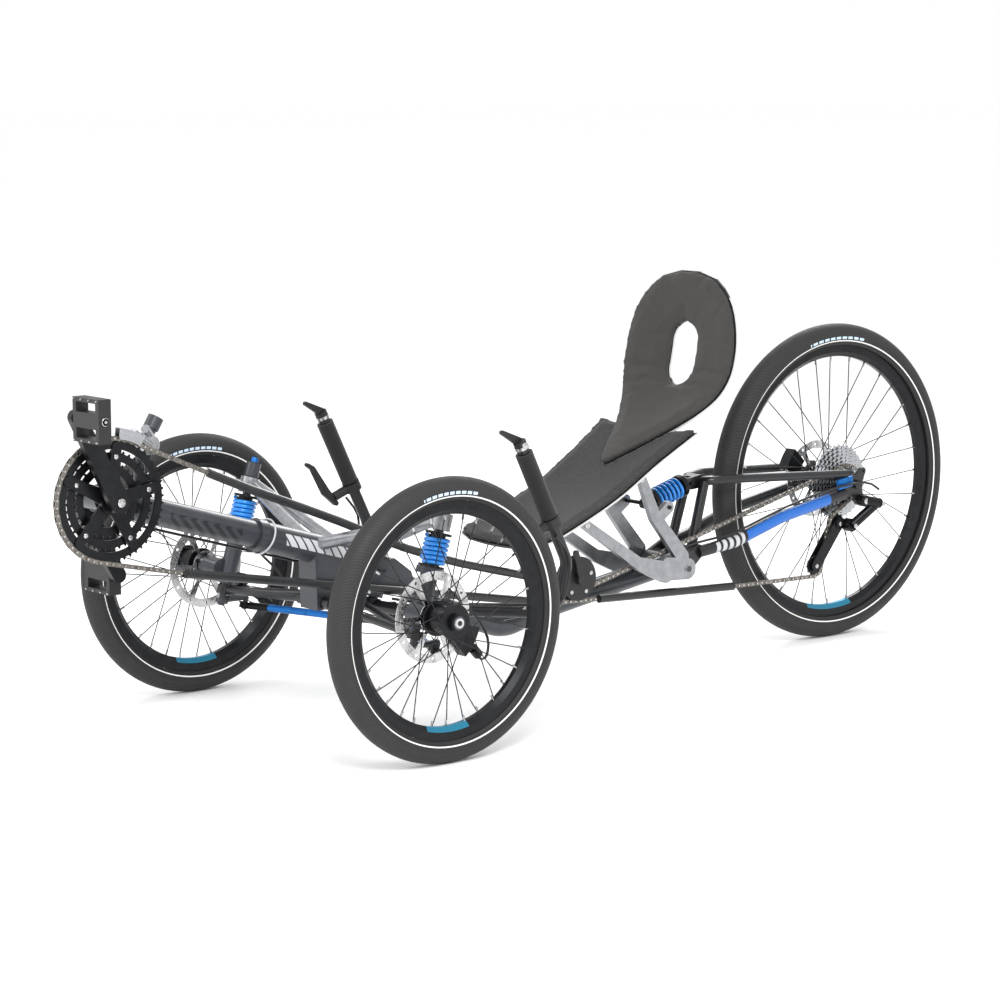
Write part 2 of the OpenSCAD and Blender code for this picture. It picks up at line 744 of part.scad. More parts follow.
// Points and headings of a path that runs straight between circles and round them
function chain_path(circles) =
    let (last = len(circles) - 1,
         turn = [for (i = [0 : last - 1]) turn_of(tangent_dir(circles[i], circles[i + 1]))])
    concat(
        [[circles[0][0], turn[0]]],
        [for (i = [1 : last - 1])
            let (side = sign(circles[i][1]), swing = ((turn[i] - turn[i - 1]) * side + 720) % 360,
                 n = ceil(swing / 6))
            for (k = [0 : n]) let (t = turn[i - 1] + side * swing * k / n)
                [touch(circles[i], [cos(t), sin(t)]), t]],
        [[circles[last][0], turn[last - 1]]]
    );

// A flat band along such a path
module chain_run(circles) {
    path = chain_path(circles);
    last = len(path) - 1;
    plate_y(chain_y, chain_w) polygon(concat(
        [for (p = path) p[0] + chain_h / 2 * [-sin(p[1]), cos(p[1])]],
        [for (i = [0 : last]) path[last - i][0] - chain_h / 2 * [-sin(path[last - i][1]), cos(path[last - i][1])]]
    ));
}

drive_mouth = [254, 488];               // front end of the upper chain tube
drive_end = [-470, 226];
return_mouth = [303, 317];              // front end of the lower chain tube
return_end = [-530, 168];
rear_tube_front = [-642, 163];
rear_tube_end = [-1000, 147];
chain_tube_r = 8;
guide_pulley = [-1294, 246];
tension_pulley = [-1229, 164];
pulley_r = 18;

module chain() {
    ring = [[bb.x, bb.z], -chain_pitch_r];
    idler_c = [[idler_x, idler_z], -(idler_r + chain_h / 2 + seat_gap)];
    cog = [[-wheelbase, rear_r], cog_r];
    guide = [guide_pulley, -(pulley_r + chain_h / 2 + seat_gap)];
    gap = rear_tube_front - return_end;
    tension = [tension_pulley, pulley_r + chain_h / 2 + seat_gap];
    placed() color("#8d8a84") {
        chain_run([[drive_mouth + [1, 0], 0], ring, [return_mouth + [1, 0], 0]]);
        chain_run([[drive_end - [1, 0], 0], idler_c, cog, guide, tension, [rear_tube_end - [1, 0], 0]]);
        plate_y(chain_y, chain_w) translate(return_end) rotate(turn_of(gap))
            translate([1, -chain_h / 2]) square([norm(gap) - 2, chain_h]);
    }
}

module chain_tubes() {
    placed() color("#202123") {
        cable([for (p = [drive_mouth, [169, 452], [84, 419], [-24, 376], [-100, 343], [-170, 313],
                         [-300, 270], drive_end]) [p.x, chain_y, p.y]], chain_tube_r, 2, 16);
        rod([return_mouth.x, chain_y, return_mouth.y], [return_end.x, chain_y, return_end.y], chain_tube_r);
        rod([rear_tube_front.x, chain_y, rear_tube_front.y], [rear_tube_end.x, chain_y, rear_tube_end.y],
            chain_tube_r);
    }
}

// Pulley between two guard plates, on an arm from the spine
module idler() {
    guard_r = 43;
    c = [idler_x, chain_y, idler_z];
    placed() color("#1d1e20") {
        difference() {
            union() {
                pin_y(c, idler_r, 5);
                for (y = [-7.5, 7.5]) pin_y(c + [0, y, 0], guard_r, 3);
                pin_y(c, 9, 22);
            }
            pin_y(c, 5 + run_gap, 40);
        }
        difference() {
            union() {
                pin_y([c.x, 40, c.z], 5, 50);
                rod([c.x, 24, c.z], [c.x - 10, 24, c.z - 30], 8);
                pin_y([c.x, chain_y + 17, c.z], 11, 8);
                plate_y(chain_y + 18, 5) bar_2d([c.x, c.z], [c.x + 16, c.z + 52], 9, 6);
            }
            bent_tube(spine_points(), spine_r + seat_gap, 90);
        }
    }
}

// ---- gear changers, brakes and cables ----

module front_derailleur() {
    low = chain_pitch_r + chain_h / 2 - 5;
    body = bb + [-98, 0, 84];
    placed() color("#6e7073") {
        for (y = [chain_y - 7.5, chain_y + 8]) plate_y(y, 2) ring_2d([bb.x, bb.z], low, low + 19, 98, 122);
        plate_y(chain_y, 18) ring_2d([bb.x, bb.z], low + 14, low + 18, 109, 115);
        difference() {
            union() {
                rod(body + [0, 20, 0], [bb.x - 52, chain_y - 9, bb.z + 112], 7);
                pin_y(body + [0, 12, 0], 17, 26);
                rod(body + [-4, 14, 14], body + [14, 28, 30], 8);
            }
            rod(bb + post_foot - 2 * unit(post_top - post_foot), bb + post_top, post_r - 3 + seat_gap);
            rod(bb + [-84, 0, -6], bb + post_foot, 9 + seat_gap);
        }
    }
}

module rear_derailleur() {
    hang_y = rear_spacing / 2 + 4;
    a = [hanger.x, hang_y, hanger.y];
    b = a + [-40, 22, -8];
    c = [guide_pulley.x - 22, 64, guide_pulley.y - 4];
    placed() color("#1d1e20") {
        pin_y(a + [0, 13, 0], 12, 16);
        pin_y(a, 4.94, 28);
        rod(a + [-4, 15, 0], b, 10.5);
        rod(b + [4, -1, 3], c + [0, 8, 0], 10);
        pin_y(c, 13.5, 18);
        plate_y(chain_y + 9, 5) bar_2d(guide_pulley + [2, 1], [c.x, c.z], 9, 11);
        for (y = [chain_y - 7, chain_y + 7]) plate_y(y, 3) bar_2d(guide_pulley, tension_pulley, 13, 12);
        for (p = [guide_pulley, tension_pulley]) {
            pin_y([p.x, chain_y, p.y], pulley_r, 4);
            pin_y([p.x, chain_y, p.y], 5, 14);
        }
    }
}

// A block round part of a rotor's edge, with a slot that the rotor runs in
module caliper_block(c, y, half_w, r_low, r_top, first, swing, slot) {
    translate([c.x, y, c.z]) rotate([90, 0, 0]) rotate(first) difference() {
        rotate_extrude(angle = swing) translate([r_low, -half_w]) square([r_top - r_low, 2 * half_w]);
        translate([0, 0, -rotor_t / 2 - 1.2]) cylinder(h = rotor_t + 2.4, r = slot);
    }
}

module rear_brake_caliper() {
    y = -44;
    placed() color("#1d1e20") {
        caliper_block([-wheelbase, 0, rear_r], y, 13, 60, 98, 16, 28, rear_rotor_r + 4);
        pin_y([-1240, y - 12.7, 356], 6, 9);
    }
}

module front_caliper(side) {
    c = [0, 0, front_r];
    y = half_track - hub_half - 4;
    placed() left_or_right(side) color("#1d1e20") {
        caliper_block(c, y, 12, 56, 98, 196, 34, front_rotor_r + 4);
        rod([-70, y - 16, 204], [-112, y - 26, 172], 6);
        rod([-108, y - 25, 176], [-124, y - 30, 162], 9);
    }
}

// ---- steered front suspension ----

function ball_at() = king_at(tie_z) + [-steer_arm, 0, 0];

module knuckle(side) {
    axle_y = king_y;
    hub_face = half_track - hub_half - 6;
    out_face = half_track + hub_out;
    arm = arm_lift * steer_axis;
    arm_root = king_at(tie_z) + arm;
    placed() left_or_right(side) color("#3c3d40") difference() {
        union() {
            rod(king(-30), king(66), 16);
            rod(king(66), king(spring_foot - seat_gap), spring_r + 1.5);
            rod(king(60), king(top_mount + mount_h + 24), strut_r);
            rod(king(top_mount + mount_h + 2), king(top_mount + mount_h + 28), 14);
            rod(king(-28), king_at(tie_z) + 6 * steer_axis, strut_r - 1);
            rod(arm_root - 6 * steer_axis, arm_root + 2 * steer_axis, 12);
            rod(arm_root, ball_at() + arm, 6);
            rod(ball_at() - 8 * steer_axis, ball_at() + arm, tie_pin_r);
            rod([-8, axle_y, front_r], [0, hub_face - 12, front_r], 18);
            rod([0, axle_y, front_r], [0, hub_face - 1, front_r], 19);
            rod([0, axle_y, front_r], [0, out_face + 5, front_r], front_axle_r);
            rod([0, out_face + 0.6, front_r], [0, out_face + 5, front_r], front_axle_r + 2);
            plate_y(hub_face - 9, 9) bar_2d([0, front_r], [-58, 214], 17, 10);
        }
        caliper_block([0, 0, front_r], half_track - hub_half - 4, 12 + seat_gap, 56 - seat_gap, 98,
                      194, 38, 0);
    }
}

module strut_spring(side) {
    placed() left_or_right(side) color("#1f6fc4") aim(king(spring_foot), steer_axis)
        spring_sleeve(spring_len, spring_r, 8, 6);
}

// ---- handlebar ----

bar_points = [
    [-stem_back, 0, stem_z], [-stem_back - 12, 66, stem_z - 1], [-332, grip_y - 12, stem_z + 3],
    [-346, grip_y, 300], [-242, grip_y, 512]
];
bar_top = bar_points[4];
grip_dir = unit(bar_points[4] - bar_points[3]);

module handlebar() {
    root = stem_at(tie_z) + [-steer_arm, 0, 0];
    placed() color("#1a1b1c") {
        both_sides() bent_tube(bar_points, bar_r, bend_r);
        rod(stem_at(stem_z - 10), stem_at(stem_z + 48), stem_r);
        rod(stem_at(stem_z - 12), stem_at(stem_z + bar_r + 2), 15);
        rod(stem_at(stem_z - 2), root + 25 * steer_axis, 8);
        rod(root + 28 * steer_axis, root - 14.5 * steer_axis, tie_pin_r);
    }
}

module grip(side) {
    a = bar_top - 8 * grip_dir;
    b = bar_top - (8 + grip_len) * grip_dir;
    placed() left_or_right(side) color("#161617") pipe(b, a, grip_r, bar_r + seat_gap);
}

module shifter(side) {
    a = bar_top + seat_gap * grip_dir;
    placed() left_or_right(side) color("#1d1e20") {
        rod(a, a + 16 * grip_dir, 12);
        plate_y(grip_y - 3, 6) bar_2d([a.x + 7, a.z + 14], [-198, 545], 8, 4);
    }
}

module brake_lever(side) {
    a = bar_top - (10 + grip_len) * grip_dir;
    b = a - 18 * grip_dir;
    m = (a + b) / 2;
    out = [grip_dir.z, 0, -grip_dir.x];
    placed() left_or_right(side) color("#1d1e20") difference() {
        union() {
            rod(b, a, 17);
            rod(m + 10 * out, m + 48 * out + 3 * grip_dir, 9);
            plate_y(grip_y, 9) {
                bar_2d([m.x + 40, m.z - 30], [m.x + 64, m.z - 6], 5, 8);
                bar_2d([m.x + 64, m.z - 6], [m.x + 94, m.z + 42], 8, 4.5);
                bar_2d([m.x + 94, m.z + 42], [m.x + 106, m.z + 50], 4.5, 3.5);
            }
        }
        rod(b - 40 * grip_dir, a + 40 * grip_dir, bar_r + seat_gap);
    }
}

// The two rods share one pin on the handlebar, one eye above the other
module tie_rod(side) {
    inner = stem_at(tie_z) + [-steer_arm, 0, 0] + side * (tie_eye_h / 2 + 0.5) * steer_axis;
    outer = ball_at();
    half = tie_eye_h / 2 * steer_axis;
    placed() left_or_right(side) color("#3aa0e8") difference() {
        union() {
            rod(inner + 12 * unit(outer - inner), outer - 12 * unit(outer - inner), tie_r);
            for (p = [inner, outer]) {
                rod(p - half, p + half, 10);
                rod(p, p + (p == inner ? 1 : -1) * 20 * unit(outer - inner), 5);
            }
        }
        rod(inner - 2 * half, inner + 2 * half, tie_pin_r + run_gap);
        rod(outer - 2 * half, outer + 2 * half, tie_pin_r + run_gap);
    }
}

// ---- cables ----

module bar_cables() {
    placed() color("#121213") both_sides() {
        cable([[-306, 314, 352], [-334, 315, 316], [-336, 314, 270], [-326, 300, 226], [-290, 254, 222],
               [-220, 172, 220], [-166, 102, 219], [-140, 50, 222]], 2.5);
    }
}

module frame_cables() {
    placed() color("#121213") {
        cable([for (x = [24, 110, 200, 290, 350]) tube_point(x) + [0, -14, -31]], 2.5);
        cable([[-226, 24.7, 244], [-300, 26, 192], [-420, 26, 142], [-540, 26, 160], [-660, 26, 184],
               [-760, 26, 214], [-830, 33, 231], [-868, 42, 238], [-900, 55, 248], [-940, 64, 254],
               [-985, 72, 262], [-1110, 84, 301],
               [-1230, 90, 326], [-1330, 92, 332], [-1372, 92, 314]], 2.5);
    }
}

module brake_cable(side) {
    placed() left_or_right(side) color("#121213")
        cable([[-124.3, 318, 161.7], [-134, 314, 152], [-152, 308, 156], [-156, 305, 186], [-134, 300, 226],
               [-100, 297, 258], [-70, 295, 288]], 2.5);
}

// ---- cranks and pedals ----

function crank_tip(side) =
    bb + side * crank_len * [cos(crank_angle), 0, sin(crank_angle)];

module crank_arms() {
    placed() color("#1a1a1c") for (side = [1, -1]) {
        y = side > 0 ? arm_y_left : arm_y_right;
        tip = crank_tip(side);
        plate_y(y, arm_t) bar_2d([bb.x, bb.z], [tip.x, tip.z], 19, 13);
        pin_y([bb.x, y / 2, bb.z], spindle_r, abs(y));
        pin_y([tip.x, y + side * (arm_t / 2 + pedal_gap + pedal_w / 2), tip.z], pedal_pin_r,
              pedal_w + 2 * pedal_gap);
    }
}

module chainrings() {
    teeth_r = [chain_pitch_r - chain_h / 2 - seat_gap, 82, 61];
    thick = 2.6;
    placed() color("#26272a") difference() {
        union() {
            for (k = [0 : 2]) difference() {
                pin_y([bb.x, chain_y - k * 5.6, bb.z], teeth_r[k], thick);
                pin_y([bb.x, chain_y - k * 5.6, bb.z], teeth_r[k] - 14, thick + 2);
            }
            for (k = [0 : 4]) {
                a = crank_angle + 36 + k * 72;
                plate_y(chain_y + 2, 4)
                    bar_2d([bb.x, bb.z], [bb.x, bb.z] + 92 * [cos(a), sin(a)], 14, 9);
                for (r = [54, 75]) pin_y(bb + [r * cos(a), chain_y - 5, r * sin(a)], 6, 16);
            }
            pin_y([bb.x, chain_y + 5, bb.z], 24, 10);
        }
        pin_y([bb.x, chain_y, bb.z], spindle_r + run_gap, 60);
    }
}

// A platform pedal, hanging upright on its spindle
module pedal(side) {
    tip = crank_tip(side);
    y = (side > 0 ? arm_y_left : arm_y_right) + side * (arm_t / 2 + pedal_gap + pedal_w / 2);
    placed() color("#232323") translate([tip.x, y, tip.z]) difference() {
        cube([pedal_t, pedal_w, pedal_l], center = true);
        for (z = [-1, 1]) translate([0, 0, z * (pedal_l / 4 + 3)])
            cube([pedal_t + 2, pedal_w - 20, pedal_l / 2 - 20], center = true);
        pin_y([0, 0, 0], pedal_pin_r + run_gap, pedal_w + 2);
    }
}

main_frame();
boom();
cross_member();
wishbones();
seat_shell_lower();
seat_shell_upper();
seat_pad_lower();
seat_pad_upper();
seat_bracket(1);  // seat_bracket_left
seat_bracket(-1);  // seat_bracket_right
seat_clamp();
swing_arm();
shock_body();
shock_spring();
chain();
chain_tubes();
idler();
front_derailleur();
rear_derailleur();
rear_brake_caliper();
frame_cables();
knuckle(1);  // knuckle_left
knuckle(-1);  // knuckle_right
strut_spring(1);  // strut_spring_left
strut_spring(-1);  // strut_spring_right
front_caliper(1);  // brake_caliper_left
front_caliper(-1);  // brake_caliper_right
brake_cable(1);  // brake_cable_left
brake_cable(-1);  // brake_cable_right
handlebar();
grip(1);  // grip_left
grip(-1);  // grip_right
brake_lever(1);  // brake_lever_left
brake_lever(-1);  // brake_lever_right
shifter(1);  // shifter_left
shifter(-1);  // shifter_right
bar_cables();
tie_rod(1);  // tie_rod_left
tie_rod(-1);  // tie_rod_right
crank_arms();
chainrings();
pedal(1);  // pedal_left
pedal(-1);  // pedal_right
front_tyre(1);  // tyre_left
front_rim(1);  // rim_left
front_spokes(1);  // spokes_left
front_hub(1);  // hub_left
front_rotor(1);  // brake_rotor_left
front_tyre(-1);  // tyre_right
front_rim(-1);  // rim_right
front_spokes(-1);  // spokes_right
front_hub(-1);  // hub_right
front_rotor(-1);  // brake_rotor_right
tyre_rear();
rim_rear();
spokes_rear();
hub_rear();
brake_rotor_rear();
cassette();
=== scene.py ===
import math

import bmesh
import bpy
from mathutils import Matrix, Vector


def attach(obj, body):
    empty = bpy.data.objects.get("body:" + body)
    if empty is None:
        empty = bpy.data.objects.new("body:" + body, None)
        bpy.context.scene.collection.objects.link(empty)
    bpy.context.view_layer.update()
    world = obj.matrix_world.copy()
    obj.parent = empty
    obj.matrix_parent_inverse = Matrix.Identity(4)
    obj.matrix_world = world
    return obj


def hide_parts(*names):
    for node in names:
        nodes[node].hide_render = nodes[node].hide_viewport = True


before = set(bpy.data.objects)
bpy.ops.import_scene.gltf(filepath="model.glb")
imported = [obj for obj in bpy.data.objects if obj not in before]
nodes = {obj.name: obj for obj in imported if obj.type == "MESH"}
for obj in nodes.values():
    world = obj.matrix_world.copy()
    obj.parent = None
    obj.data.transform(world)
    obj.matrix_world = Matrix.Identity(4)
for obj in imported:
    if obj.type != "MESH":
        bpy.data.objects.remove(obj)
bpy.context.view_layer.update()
print("frame loaded:", len(nodes), "nodes")

# Sizes are in millimetres from the front axle line; place() turns them to metres in the frame
axleShift = 543.5
caster = math.radians(17)
kingAxis = Vector((-math.sin(caster), 0, math.cos(caster)))


def place(x, y, z):
    return Vector(((x + axleShift) / 1000, y / 1000, z / 1000))


def king(t, side=1):
    return place(-17 + t * kingAxis.x, 293 * side, 247.5 + t * kingAxis.z)


# ---- camera, floor and light ----

camera = {
    "place": (3.6169, 4.2770, 1.1827),
    "right": (-0.77294, 0.63447, -0.00197),
    "up": (-0.09373, -0.11111, 0.98938),
    "lens": 106.6,
}

studio = {
    "floor": "FFFFFF",
    "sky": "FFFFFF",
    "skyStrength": 1.0,
    "key": 105,
    "fill": 32,
    "rim": 50,
}


def linear(hexColour):
    values = [int(hexColour[i:i + 2], 16) / 255 for i in (0, 2, 4)]
    return [v / 12.92 if v <= 0.04045 else ((v + 0.055) / 1.055) ** 2.4 for v in values] + [1.0]


def addNode(tree, kind, links=None, values=None, **settings):
    node = tree.nodes.new(kind)
    for key, value in settings.items():
        setattr(node, key, value)
    for key, value in (values or {}).items():
        node.inputs[key].default_value = value
    for key, socket in (links or {}).items():
        tree.links.new(socket, node.inputs[key])
    return node


def addCamera():
    right, up = Vector(camera["right"]), Vector(camera["up"])
    back = right.cross(up)
    data = bpy.data.cameras.new("camera")
    data.lens = camera["lens"]
    data.sensor_width = 36
    data.clip_end = 200
    obj = bpy.data.objects.new("camera", data)
    obj.matrix_world = Matrix.Translation(camera["place"]) @ Matrix((right, up, back)).transposed().to_4x4()
    bpy.context.collection.objects.link(obj)
    bpy.context.scene.camera = obj


def addLight(name, where, target, size, power):
    data = bpy.data.lights.new(name, "AREA")
    data.energy = power
    data.size = size
    obj = bpy.data.objects.new(name, data)
    obj.location = where
    obj.rotation_euler = (Vector(target) - Vector(where)).to_track_quat("-Z", "Y").to_euler()
    bpy.context.collection.objects.link(obj)


def addStudio():
    world = bpy.data.worlds.new("studio")
    world.use_nodes = True
    sky = world.node_tree.nodes["Background"]
    sky.inputs["Color"].default_value = linear(studio["sky"])
    sky.inputs["Strength"].default_value = studio["skyStrength"]
    bpy.context.scene.world = world
    bpy.context.scene.view_settings.view_transform = "Standard"
    bm = bmesh.new()
    bmesh.ops.create_grid(bm, x_segments=1, y_segments=1, size=60)
    mesh = bpy.data.meshes.new("floor")
    bm.to_mesh(mesh)
    bm.free()
    floor = bpy.data.objects.new("floor", mesh)
    bpy.context.collection.objects.link(floor)
    mat = bpy.data.materials.new("paperFloor")
    mat.use_nodes = True
    shader = mat.node_tree.nodes["Principled BSDF"]
    shader.inputs["Base Color"].default_value = linear(studio["floor"])
    shader.inputs["Roughness"].default_value = 1.0
    mesh.materials.append(mat)
    addLight("key", (1.8, 2.6, 3.0), (0, 0, 0.35), 1.6, studio["key"])
    addLight("fill", (3.2, -1.6, 1.6), (0, 0, 0.35), 2.0, studio["fill"])
    addLight("rim", (-2.6, -1.8, 2.4), (0, 0, 0.4), 1.4, studio["rim"])


addCamera()
addStudio()
print("studio ready")

# ---- materials: each is one real material and how its surface was made ----

finishes = {
    # powder coat over aluminium: satin, with a fine orange peel
    "powderCoatGraphite": dict(a="3C3E44", b="33353A", patch=60, rough=(0.34, 0.44), peel=2.4, depth=0.25,
                               metal=0.25, coat=0.25),
    "powderCoatBlack": dict(a="1B1C1F", b="131416", patch=60, rough=(0.32, 0.42), peel=2.4, depth=0.2,
                            metal=0.1, coat=0.2),
    # forged, shot-blasted aluminium with a soft sheen and rubbed edges
    "forgedAluminium": dict(a="A2A4A7", b="8E9093", patch=18, rough=(0.3, 0.4), peel=0.9, depth=0.35, metal=0.85),
    "machinedAluminium": dict(a="B6B8BB", b="A8AAAD", patch=9, rough=(0.2, 0.32), peel=0.5, depth=0.15, metal=1.0),
    # black anodising: even, slightly soft, with a metal glint
    "anodisedBlack": dict(a="1E1F22", b="141517", patch=14, rough=(0.28, 0.4), peel=0.6, depth=0.15, metal=0.6),
    "anodisedBlue": dict(a="2474C2", b="1A5FA8", patch=20, rough=(0.24, 0.34), peel=0.6, depth=0.12, metal=0.7),
    # spring steel dipped in gloss azure enamel
    "enamelAzure": dict(a="1E8FE8", b="1680DA", patch=12, rough=(0.2, 0.3), peel=1.6, depth=0.2, metal=0.1,
                        coat=0.6),
    "steelOiled": dict(a="8F8A84", b="6C6862", patch=4, rough=(0.3, 0.5), peel=0.8, depth=0.4, metal=0.9),
    "steelPolished": dict(a="D2D2D2", b="AFAFB0", patch=6, rough=(0.14, 0.3), peel=0.7, depth=0.2, metal=1.0),
    "steelBlackened": dict(a="3A3B3D", b="232426", patch=8, rough=(0.3, 0.42), peel=0.8, depth=0.15, metal=0.85),
    # moulded nylon: fine spark-eroded grain
    "nylonBlack": dict(a="1C1C1E", b="151516", patch=20, rough=(0.42, 0.55), peel=0.7, depth=0.4, metal=0.0),
    "nylonTube": dict(a="1D1E20", b="161718", patch=40, rough=(0.3, 0.42), peel=1.5, depth=0.15, metal=0.0,
                      coat=0.15),
    # cable housing: extruded polymer with a light gloss
    "housingBlack": dict(a="161617", b="0F0F10", patch=30, rough=(0.3, 0.4), peel=1.0, depth=0.1, metal=0.0),
    "housingPale": dict(a="C9CCD0", b="B7BABE", patch=30, rough=(0.35, 0.45), peel=1.0, depth=0.1, metal=0.0),
    # black tyre rubber with a fine mould texture
    "tyreRubber": dict(a="232323", b="1C1C1C", patch=30, rough=(0.62, 0.74), peel=0.9, depth=0.4, metal=0.0),
    # closed-cell foam rubber: matt, slightly pebbled
    "foamRubber": dict(a="1A1A1B", b="111112", patch=12, rough=(0.78, 0.92), peel=1.4, depth=0.8, metal=0.0,
                       sheen=0.15),
    # open-cell foam pad, cut from sheet: pores of about 1 mm drawn a little coarser so that they show
    "foamPadSpeckled": dict(a="3A3A3A", b="1C1C1C", patch=3.5, rough=(0.86, 0.97), peel=1.8, depth=1.0, metal=0.0,
                            sheen=0.08),
    "foamPadSmooth": dict(a="383634", b="302E2D", patch=26, rough=(0.8, 0.92), peel=1.6, depth=0.6, metal=0.0,
                          sheen=0.1),
    # laminated shell; its pale edge is a painted highlight, added with the marks below
    "laminateShell": dict(a="3D3E40", b="2A2B2D", patch=30, rough=(0.35, 0.5), peel=1.2, depth=0.2, metal=0.0),
}
made = {}


def surface(name):
    if name in made:
        return made[name]
    look = finishes[name]
    mat = bpy.data.materials.new(name)
    mat.use_nodes = True
    tree = mat.node_tree
    shader = tree.nodes["Principled BSDF"]
    coords = addNode(tree, "ShaderNodeTexCoord").outputs["Object"]
    cloud = addNode(tree, "ShaderNodeTexNoise", {"Vector": coords},
                    {"Scale": 1000 / look["patch"], "Detail": 4.0, "Roughness": 0.6})
    ramp = addNode(tree, "ShaderNodeValToRGB", {"Fac": cloud.outputs["Fac"]})
    ramp.color_ramp.elements[0].position = 0.35
    ramp.color_ramp.elements[1].position = 0.68
    ramp.color_ramp.elements[0].color = linear(look["b"])
    ramp.color_ramp.elements[1].color = linear(look["a"])
    tree.links.new(ramp.outputs["Color"], shader.inputs["Base Color"])
    wear = addNode(tree, "ShaderNodeMapRange", {"Value": cloud.outputs["Fac"]},
                   {"From Min": 0.3, "From Max": 0.7, "To Min": look["rough"][0], "To Max": look["rough"][1]})
    tree.links.new(wear.outputs["Result"], shader.inputs["Roughness"])
    grain = addNode(tree, "ShaderNodeTexNoise", {"Vector": coords}, {"Scale": 1000 / look["peel"], "Detail": 2.0})
    bump = addNode(tree, "ShaderNodeBump", {"Height": grain.outputs["Fac"]},
                   {"Strength": look["depth"], "Distance": 0.0004})
    tree.links.new(bump.outputs["Normal"], shader.inputs["Normal"])
    shader.inputs["Metallic"].default_value = look["metal"]
    shader.inputs["Coat Weight"].default_value = look.get("coat", 0.0)
    shader.inputs["Sheen Weight"].default_value = look.get("sheen", 0.0)
    made[name] = mat
    return mat


def paint(name, finish):
    mesh = nodes[name].data
    mesh.materials.clear()
    mesh.materials.append(surface(finish) if isinstance(finish, str) else finish)


nodeFinish = {
    "main_frame": "powderCoatGraphite", "boom": "powderCoatGraphite", "cross_member": "forgedAluminium",
    "wishbones": "powderCoatBlack", "seat_shell_lower": "laminateShell", "seat_shell_upper": "laminateShell",
    "seat_pad_lower": "foamPadSpeckled", "seat_pad_upper": "foamPadSmooth",
    "seat_bracket_left": "forgedAluminium", "seat_bracket_right": "forgedAluminium", "seat_clamp": "nylonBlack",
    "swing_arm": "powderCoatBlack", "shock_body": "anodisedBlack", "shock_spring": "enamelAzure",
    "chain": "steelOiled", "chain_tubes": "nylonTube", "idler": "nylonBlack",
    "front_derailleur": "machinedAluminium", "rear_derailleur": "anodisedBlack",
    "rear_brake_caliper": "anodisedBlack",
    "frame_cables": "housingBlack", "bar_cables": "housingBlack", "handlebar": "powderCoatBlack",
    "crank_arms": "anodisedBlack", "chainrings": "anodisedBlack",
    "knuckle": "powderCoatGraphite", "strut_spring": "enamelAzure", "brake_caliper": "anodisedBlack",
    "brake_cable": "housingBlack", "grip": "foamRubber", "brake_lever": "nylonBlack", "shifter": "nylonBlack",
    "tie_rod": "anodisedBlue", "pedal": "nylonBlack", "tyre": "tyreRubber", "rim": "anodisedBlack",
    "spokes": "steelBlackened", "hub": "anodisedBlack", "brake_rotor": "steelPolished",
    "cassette": "machinedAluminium",
}
for name in nodes:
    stem = name
    for ending in ("_left", "_right", "_rear"):
        if stem not in nodeFinish and stem.endswith(ending):
            stem = stem[: -len(ending)]
    paint(name, nodeFinish[stem])
print("frame painted")

# ---- marks that follow the shape: each is a mask on Object coordinates ----


def calc(tree, operation, *values):
    node = addNode(tree, "ShaderNodeMath", operation=operation)
    for i, value in enumerate(values):
        if isinstance(value, (int, float)):
            node.inputs[i].default_value = value
        else:
            tree.links.new(value, node.inputs[i])
    return node.outputs[0]


def within(tree, value, middle, half):
    return calc(tree, "COMPARE", value, middle, half)


def along(tree, centre=(0, 0, 0)):
    coords = addNode(tree, "ShaderNodeTexCoord").outputs["Object"]
    moved = addNode(tree, "ShaderNodeVectorMath", {0: coords}, {1: tuple(centre)}, operation="SUBTRACT")
    return addNode(tree, "ShaderNodeSeparateXYZ", {"Vector": moved.outputs["Vector"]}).outputs


def variant(finish, name):
    mat = surface(finish).copy()
    mat.name = name
    return mat


def overlay(mat, mask, hexColour, paintOn=True):
    tree = mat.node_tree
    shader = tree.nodes["Principled BSDF"]
    below = shader.inputs["Base Color"].links[0].from_socket
    mix = addNode(tree, "ShaderNodeMix", {0: mask, 6: below}, {7: linear(hexColour)}, data_type="RGBA")
    tree.links.new(mix.outputs[2], shader.inputs["Base Color"])
    metal = shader.inputs["Metallic"]
    if paintOn and metal.default_value > 0 and not metal.links:
        tree.links.new(calc(tree, "MULTIPLY", calc(tree, "SUBTRACT", 1, mask), metal.default_value), metal)


wheels = {
    "left": {"centre": (0, 386, 247.5), "side": 1, "line": 0.2155, "bead": 203, "rotor": -38,
             "steered": "steered_left"},
    "right": {"centre": (0, 386, 247.5), "side": -1, "line": 0.2155, "bead": 203, "rotor": -38,
              "steered": "steered_right"},
    "rear": {"centre": (-1322, 0, 327), "side": 1, "line": 0.2925, "bead": 279.5, "rotor": -44},
}


def wheelPoint(wheel, angle, radius, y):
    # angle from the front, up; y is outwards from the middle of the wheel
    x0, y0, z0 = wheel["centre"]
    return place(x0 + radius * math.cos(angle), wheel["side"] * (y0 + y), z0 + radius * math.sin(angle))


